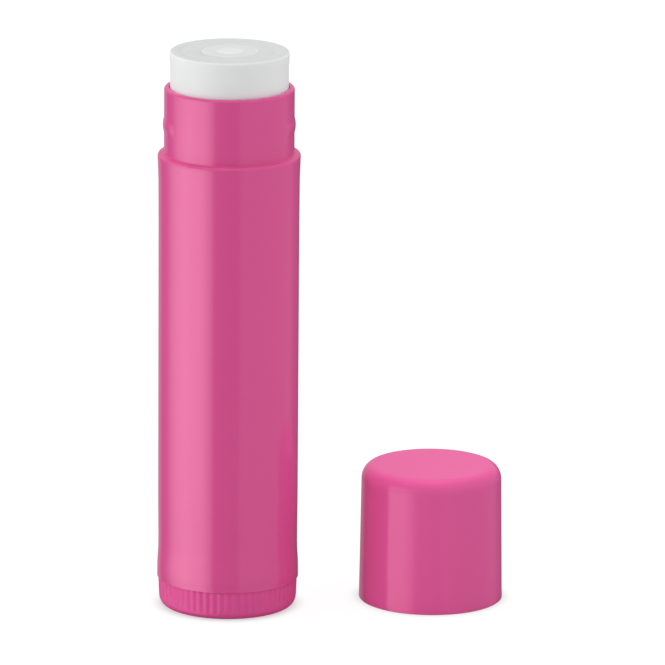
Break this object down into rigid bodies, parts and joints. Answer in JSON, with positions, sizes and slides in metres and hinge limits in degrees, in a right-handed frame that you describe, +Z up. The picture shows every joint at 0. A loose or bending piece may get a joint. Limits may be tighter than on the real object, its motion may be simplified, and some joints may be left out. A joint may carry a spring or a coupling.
{
  "type": "lip balm stick",
  "caption": "Twist-up lip balm stick with its cap off: a ribbed base wheel turns a screw that lifts the balm through the neck of a plain tube.",
  "frame": {"origin": "centre of the base wheel's flat foot, on the surface that the stick stands on", "axes": "+Z up the stick's axis, towards the balm; +X towards the cap that stands beside it; the picture looks along +Y"},
  "size_m": [0.0397, 0.0194, 0.0648],
  "materials": {
    "pink_plastic": "opaque pink polypropylene, satin to gloss as moulded",
    "natural_plastic": "undyed milky polypropylene, as moulded",
    "balm_wax": "off-white wax balm with a soft sheen"
  },
  "bodies": {
    "barrel": {"barrel": "pink_plastic"},
    "base_wheel": {"base_wheel": "pink_plastic"},
    "elevator": {"elevator_cup": "natural_plastic", "balm": "balm_wax"},
    "cap": {"cap": "pink_plastic"}
  },
  "joints": [
    {"name": "wheel_turn", "type": "hinge", "parent": "barrel", "child": "base_wheel", "pos_m": [0, 0, 0], "axis": [0, 0, 1], "range_deg": [-414, 3168]},
    {"name": "balm_slide", "type": "slide", "parent": "barrel", "child": "elevator", "axis": [0, 0, 1], "range_m": [-0.0046, 0.0352]},
    {"name": "cap_lift", "type": "slide", "parent": "barrel", "child": "cap", "axis": [0, 0, 1], "range_m": [0, 0.066]}
  ],
  "couplings": [
    {"joint": "wheel_turn", "follows": "balm_slide", "rad_per_m": 1570.8}
  ]
}
